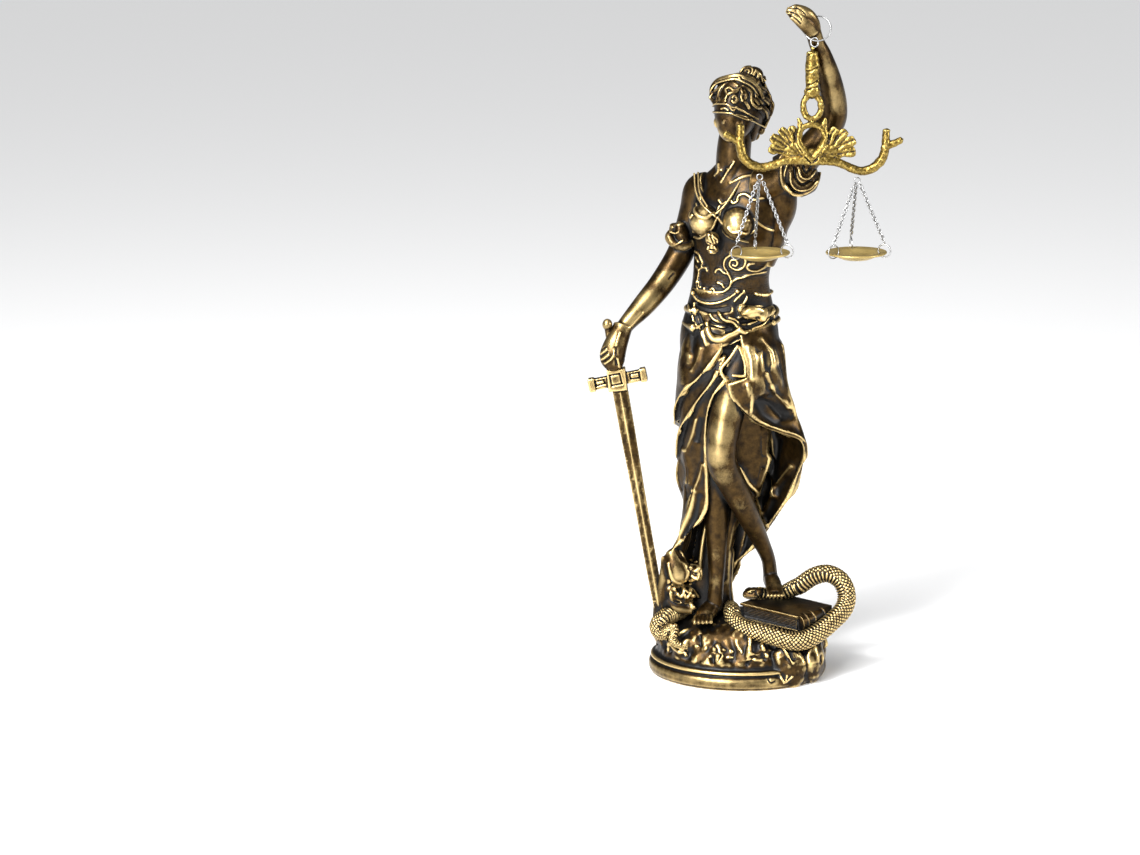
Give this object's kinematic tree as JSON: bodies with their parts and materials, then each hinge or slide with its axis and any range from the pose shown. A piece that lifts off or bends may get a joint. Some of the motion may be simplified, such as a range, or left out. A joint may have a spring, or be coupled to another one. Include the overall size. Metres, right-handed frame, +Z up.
{
  "type": "lady justice statue",
  "caption": "Standing blindfolded figure in draped dress with one arm raised to hang balance scales and one hand on a sword, on an oval rock base with a book and a snake.",
  "frame": {"origin": "centre of the base's flat underside", "axes": "+Z up from the base to the raised hand, -Y the way the figure faces, +X to the side of the raised arm"},
  "size_m": [0.1457, 0.0802, 0.3242],
  "materials": {
    "bronze_resin": "cold cast bronze resin, dark in the hollows and rubbed gold on the raised parts",
    "gilt_metal": "bright gilt cast metal with dark lines in the recesses",
    "brass_dish": "brushed antique brass with a brighter rim",
    "steel_wire": "plated wire and fine chain"
  },
  "bodies": {
    "root": {"statue": "bronze_resin", "wrist_ring": "steel_wire", "eyelet": "steel_wire", "scale_beam": "gilt_metal", "left_hook": "steel_wire", "right_hook": "steel_wire", "left_chain_1": "steel_wire", "left_chain_2": "steel_wire", "left_chain_3": "steel_wire", "right_chain_1": "steel_wire", "right_chain_2": "steel_wire", "right_chain_3": "steel_wire", "left_pan_ring_1": "steel_wire", "left_pan_ring_2": "steel_wire", "left_pan_ring_3": "steel_wire", "right_pan_ring_1": "steel_wire", "right_pan_ring_2": "steel_wire", "right_pan_ring_3": "steel_wire", "left_pan": "brass_dish", "right_pan": "brass_dish"}
  },
  "joints": []
}
